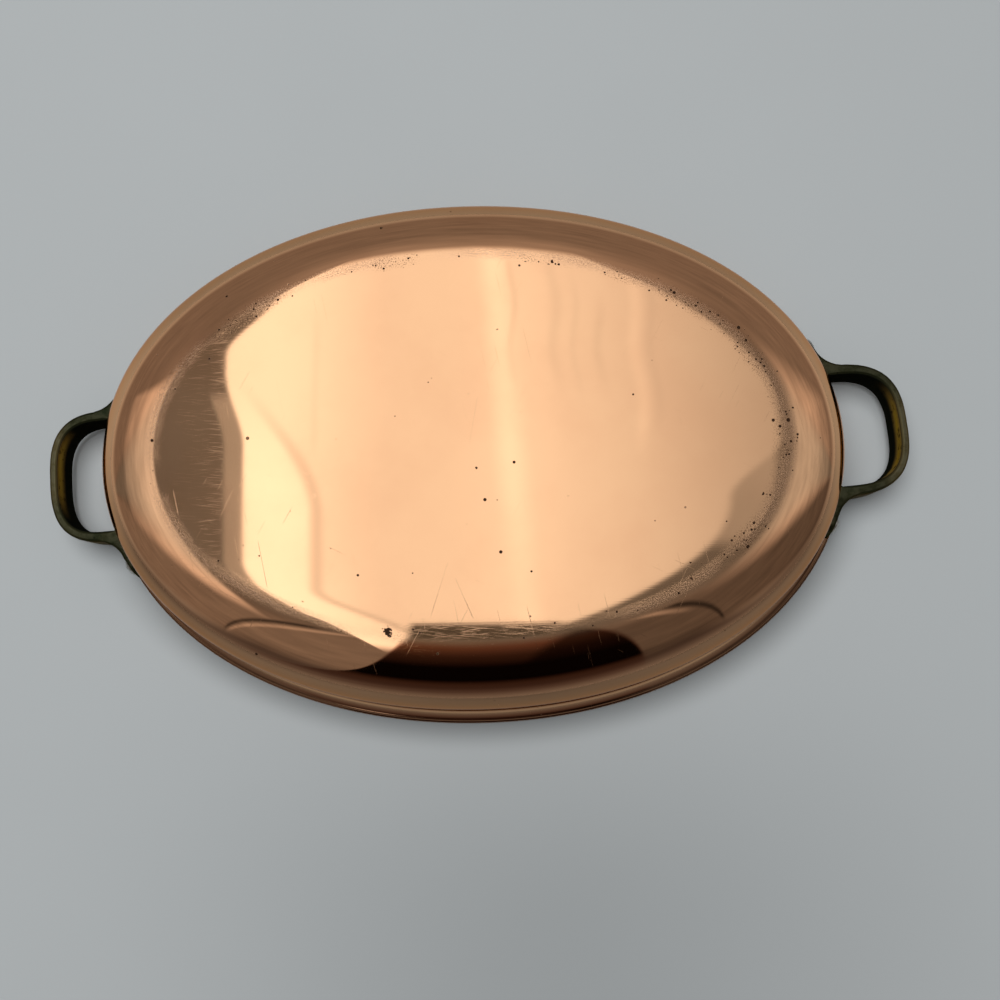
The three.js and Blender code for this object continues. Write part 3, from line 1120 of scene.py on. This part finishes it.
# %% Set up the card that only polished surfaces see
pale = Finish("upright_ceiling")
pale.show(pale.node("Emission", {}, {"Color": (1, 1, 1, 1), "Strength": 1.0}))
card_corners = [(-0.7, -0.6, 1.5), (0.5, -0.6, 1.5), (0.5, 0.7, 1.5), (-0.7, 0.7, 1.5)]
card = staged_sheet("upright_ceiling", card_corners, pale.material)
for ray in ("camera", "diffuse", "shadow", "transmission", "volume_scatter"):
    setattr(card, "visible_" + ray, False)
print("The card is", [round(side, 2) for side in card.dimensions[:2]], "m")

# %% [markdown]
# The room below the pan is drawn with soft masks over two slopes: u to the right in the photograph, and v up
# the picture, both as the way that a ray goes sideways for each metre that it goes down. A bright ceiling
# with soft folds fills the base's mirror. Its edges are wavy, because the old copper bends them.


# %% Draw the ceiling
# Each streak has its u, the v where it starts and ends, its half width and its strength.
ceiling_streaks = [
    (0.001, 0.26, 0.40, 0.006, -0.15),
    (0.043, 0.26, 0.40, 0.009, -0.09),
    (0.062, 0.25, 0.36, 0.006, -0.06),
    (0.086, 0.26, 0.33, 0.008, -0.08),
    (0.124, 0.20, 0.38, 0.012, 0.11),
    (0.141, 0.22, 0.38, 0.008, -0.06),
]


def ceiling_glow(u, v):
    """How bright the ceiling is at each place. It is whitest at the left and dimmer towards the right."""
    glow = 1.13 + 0.38 * u.smooth(-0.12, -0.25) - 0.68 * u.smooth(0.0, 0.36) + 0.09 * band(u, -0.005, 0.07)
    fold = 0.10 * v.smooth(0.055, 0.0) - 0.10 * v.smooth(0.13, 0.33) - 0.205
    past_fold = u - fold
    glow = glow + 0.24 * past_fold.smooth(0.0, -0.010) * v.smooth(0.28, 0.16)
    glow = glow - 0.36 * band(past_fold, 0.004, 0.011) * v.smooth(0.28, 0.17)
    glow = glow - 0.09 * band(u, -0.205, 0.007) * v.smooth(0.18, 0.21) * v.smooth(0.35, 0.31)
    lean = u + 0.075 * v
    glow = glow + (0.11 + 0.12 * v.smooth(0.05, 0.2)) * band(lean, 0.010, 0.024)
    wander = u - 0.003 * u.finish.maths("SINE", v * 60)
    for middle, low, high, width, strength in ceiling_streaks:
        along = v.smooth(low - 0.03, low + 0.02) * v.smooth(high + 0.03, high - 0.02)
        glow = glow + strength * band(wander, middle, width) * along
    return glow


def ceiling_edges(v):
    """Where the ceiling's left and right edges are, for each v."""
    left = 0.046 * v.smooth(0.295, 0.355) - 0.020 * v.smooth(0.20, 0.28)
    left = left - 0.076 * v.smooth(-0.01, 0.085) - 0.20
    before_corner = 1 - (v / 0.14).clamped()
    right = 0.213 * (1 - before_corner**2.2)
    right = right + 0.057 * v.smooth(0.135, 0.20) - 0.15 * v.smooth(0.24, 0.42)
    return left, right


print("The ceiling has", len(ceiling_streaks), "streaks")

# %% [markdown]
# Round the ceiling the room is dim, with a window at either side, and its front is dark with a warm tone. The
# further the copper turns away from level, the further out it mirrors.


# %% Draw the rest of the room
def dim_room(u, v, left, right):
    """What is round the ceiling: dim walls, a paler strip at either side of it, and two windows."""
    down = -v
    left_window = u.smooth(-0.40, -0.47) * (0.4 + 0.6 * u.smooth(-1.3, -0.55)) * u.smooth(-2.3, -1.4)
    left_window = left_window * v.smooth(-0.36, -0.16) * (v + 0.4 * u).smooth(0.20, 0.13)
    left_window = left_window * (1 - 0.22 * band(u, -0.53, 0.02) - 0.12 * band(u, -0.72, 0.05))
    right_window = u.smooth(0.30, 0.62) * (0.3 + 0.7 * u.smooth(2.6, 0.7)) * u.smooth(5.5, 3.0)
    right_window = right_window * v.smooth(-0.34, -0.06) * (v - 0.35 * u).smooth(0.42, 0.05)
    right_window = right_window * (1 - 0.15 * band(u, 0.52, 0.03) - 0.10 * band(u, 0.9, 0.08))
    far_glow = v.smooth(1.3, 0.5) * v.smooth(0.3, 0.5) * abs(u + 0.03).smooth(0.45, 0.15)
    left_strip = (u - left + 0.020).smooth(-0.003, 0.003) * v.smooth(0.04, 0.07) * v.smooth(0.262, 0.245)
    right_strip = (u - 0.26).smooth(0.006, -0.006) * v.smooth(0.08, 0.10) * v.smooth(0.20, 0.18)
    dim = 0.17 + 0.62 * left_window + 0.39 * right_window + 0.16 * far_glow
    dim = dim + 0.24 * left_strip * u.smooth(-0.2, -0.22) + 0.28 * right_strip * u.smooth(0.15, 0.17)
    at_left = u.smooth(0.0, -0.1)
    dim = dim + (0.105 * at_left - 0.06) * down.smooth(0.1, 0.3) + 0.045 * v.smooth(0.3, 0.5)
    shine = band(v - u, 0.050, 0.030) + band(v + 1.17 * u, 0.070, 0.035)
    dim = dim + 0.22 * shine.clamped() * down.smooth(0.1, 0.2) * u.smooth(0.5, 0.2)
    clouds = u.finish.noise(u.finish.vector(u, v, 0), 3.5, 3, 0.6)
    dim = dim * (0.55 + 0.9 * clouds)
    rail = band(v - u, 0.1, 0.03) + band(v + 1.17 * u, 0.12, 0.035)
    return dim * (1 - 0.75 * rail.clamped() * down.smooth(0.1, 0.2))


def photo_room(u, v):
    """All that the metal mirrors in the photograph."""
    left, right = ceiling_edges(v)
    dim = dim_room(u, v, left, right)
    inside = (u - left).smooth(-0.003, 0.003) * (u - right).smooth(0.007, -0.007)
    inside = inside * v.smooth(0.70, 0.48) * v.smooth(-0.42, -0.2)
    lit = dim + (ceiling_glow(u, v) - dim) * inside
    down = 0.017 - v
    front_left = u + 0.105 + 0.16 * down + 0.14 * down * down
    front_right = u - 0.037 - 0.45 * down
    front = front_left.smooth(-0.004, 0.006) * front_right.smooth(0.02, -0.004) * down.smooth(-0.002, 0.002)
    patch = 0.150 * down.smooth(0.45, 0.0) * (0.35 + 0.65 * down.smooth(0.012, 0.08))
    patch = patch + 0.03 * down.smooth(0.75, 0.35)
    front_tone = 0.002 + patch * (0.25 + 0.75 * u.smooth(0.085, 0.045))
    red = front * down.smooth(0.04, 0.25)
    warm = (1 - inside) * abs(v - 0.12).smooth(0.10, 0.35) * (1 - front)
    return lit + (front_tone - lit) * front, warm, red


print("The room has a ceiling, two windows and a dark front")


# %% Fill the world with the room
def filled_room():
    air = Finish("room", bpy.data.worlds, "OutputWorld")
    direction = air.node("TexCoord", output="Generated")
    x, y, z = air.parts(direction)
    depth = air.maths("MAXIMUM", -z, 0.03)
    u, v = x / depth, -y / depth
    below, warm, red = photo_room(u, v)
    near_table = (z / (0.16 + 0.50 * y.smooth(0.2, 0.95))).smooth(-1.0, 0.0)
    beside = 0.38 + 0.07 * z.smooth(0.9, 0.0)
    in_mirror = below + (beside - below) * near_table
    seen = air.node("LightPath", output="Is Camera Ray")
    mirrored = air.node("LightPath", output="Is Glossy Ray")
    through = air.node("LightPath", output="Is Transmission Ray")
    either = (mirrored + through).clamped()
    backdrop = 0.72 * seen + in_mirror * either
    fill = 0.17 * (1 - (seen + either).clamped())
    coloured = either * (1 - near_table)
    tint = air.mix(warm * coloured, (1, 1, 1), (1, 0.87, 0.82))
    tint = air.mix(red * coloured, tint, (1, 0.48, 0.34))
    return air.show(air.node("Background", {}, {"Color": tint, "Strength": backdrop + fill}))


scene.world = filled_room()
print("The room has", len(scene.world.node_tree.nodes), "nodes")

# %% [markdown]
# ## The sizes at the end
#
# How far the finished pan lies inside the imported one's box is printed for each side. The finished pan
# must not be larger than the imported one.

# %% Write the sizes and finish
bpy.context.view_layer.update()
seen_box = [list(corner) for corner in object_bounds()]
for axis, low, high, cad_low, cad_high in zip("xyz", *seen_box, *cad_box):
    print(axis, "from", round(low - cad_low, 5), "inside to", round(cad_high - high, 5), "inside")
